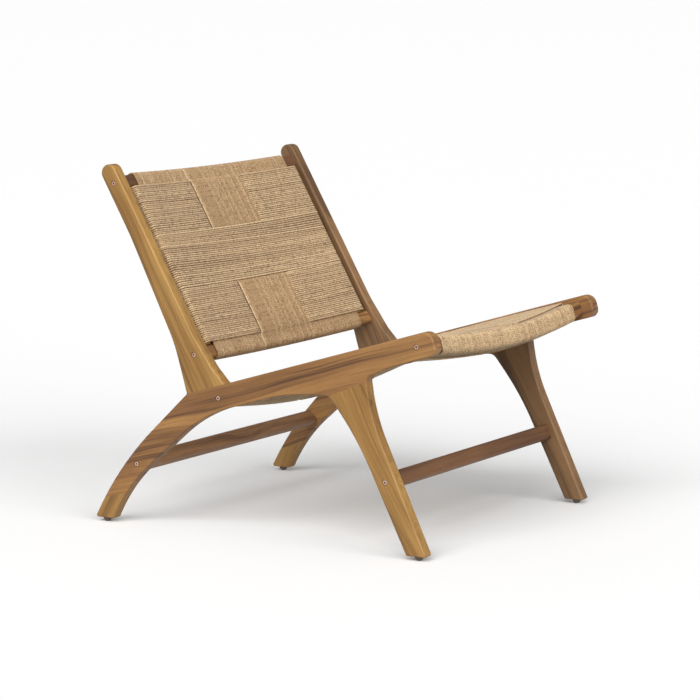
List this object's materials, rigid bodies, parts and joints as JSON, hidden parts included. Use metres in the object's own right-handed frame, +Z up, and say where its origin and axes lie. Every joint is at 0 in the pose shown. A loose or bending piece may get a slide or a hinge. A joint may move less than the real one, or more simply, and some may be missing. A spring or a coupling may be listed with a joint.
{
  "type": "lounge chair",
  "caption": "Low armless lounge chair: two side frames with splayed legs and raked back posts, curved rails, and a seat and back woven from cord.",
  "frame": {"origin": "on the floor, under the middle of the chair's overall width and depth", "axes": "+Z up, -Y the way the chair faces, +X towards the sitter's left"},
  "size_m": [0.65, 0.746, 0.6866],
  "materials": {
    "frame_wood": "satin oiled solid hardwood with darker streaks along the grain",
    "dowel_wood": "plain unfinished beech",
    "paper_cord": "twisted natural paper cord, matt with a faint sheen",
    "bolt_copper": "copper-coloured plated steel, satin",
    "insert_brass": "plain turned brass",
    "steel_pin": "plain drawn steel",
    "foot_glide": "dark moulded plastic, matt"
  },
  "bodies": {
    "root": {"back_warp_cord": "paper_cord", "back_weft_cord": "paper_cord", "front_seat_rail": "frame_wood", "front_stretcher": "frame_wood", "left_back_post": "frame_wood", "left_back_stile": "frame_wood", "left_back_stile_dowels": "dowel_wood", "left_frame_bolts": "bolt_copper", "left_front_glide": "foot_glide", "left_front_leg": "frame_wood", "left_front_leg_dowels": "dowel_wood", "left_insert_nuts": "insert_brass", "left_locating_pins": "steel_pin", "left_post_dowels": "dowel_wood", "left_rear_glide": "foot_glide", "left_rear_toe": "frame_wood", "left_rear_toe_dowels": "dowel_wood", "left_seat_stile": "frame_wood", "left_seat_stile_dowels": "dowel_wood", "left_side_beam": "frame_wood", "lower_back_rail": "frame_wood", "rear_seat_rail": "frame_wood", "rear_stretcher": "frame_wood", "right_back_post": "frame_wood", "right_back_stile": "frame_wood", "right_back_stile_dowels": "dowel_wood", "right_frame_bolts": "bolt_copper", "right_front_glide": "foot_glide", "right_front_leg": "frame_wood", "right_front_leg_dowels": "dowel_wood", "right_insert_nuts": "insert_brass", "right_locating_pins": "steel_pin", "right_post_dowels": "dowel_wood", "right_rear_glide": "foot_glide", "right_rear_toe": "frame_wood", "right_rear_toe_dowels": "dowel_wood", "right_seat_stile": "frame_wood", "right_seat_stile_dowels": "dowel_wood", "right_side_beam": "frame_wood", "seat_warp_cord": "paper_cord", "seat_weft_cord": "paper_cord", "top_back_rail": "frame_wood"}
  },
  "joints": []
}
